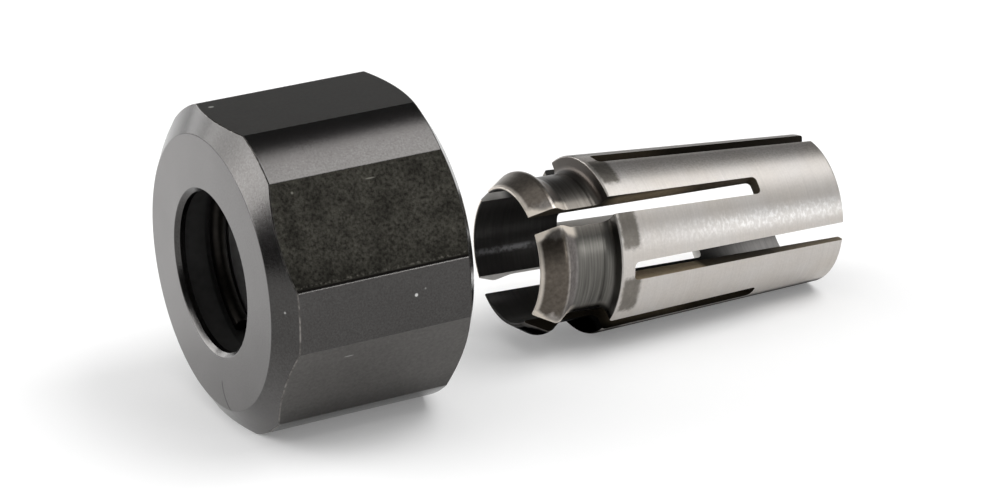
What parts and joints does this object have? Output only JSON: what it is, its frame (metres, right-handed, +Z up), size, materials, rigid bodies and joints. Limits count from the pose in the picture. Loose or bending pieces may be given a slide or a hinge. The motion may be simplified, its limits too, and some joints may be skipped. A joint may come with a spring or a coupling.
{
  "type": "split collet with clamping nut",
  "caption": "Split collet with conical head, neck, shoulder and long taper slit from both ends, lying beside its hexagonal clamping nut with turned corners and an inner wire ring.",
  "frame": {"origin": "middle of the nut's resting flat, on the surface that both pieces lie on", "axes": "+X from the nut's front face towards the collet's tail, +Z up"},
  "size_m": [0.0644, 0.0302, 0.0286],
  "materials": {
    "black_oxide_steel": "black oxide over milled and turned steel, worn at the edges",
    "dark_spring_steel": "drawn and blackened spring wire",
    "ground_steel": "hardened steel, ground taper, darker turned head and neck"
  },
  "bodies": {
    "root": {"clamping_nut": "black_oxide_steel", "retaining_ring": "dark_spring_steel", "split_collet": "ground_steel"}
  },
  "joints": []
}
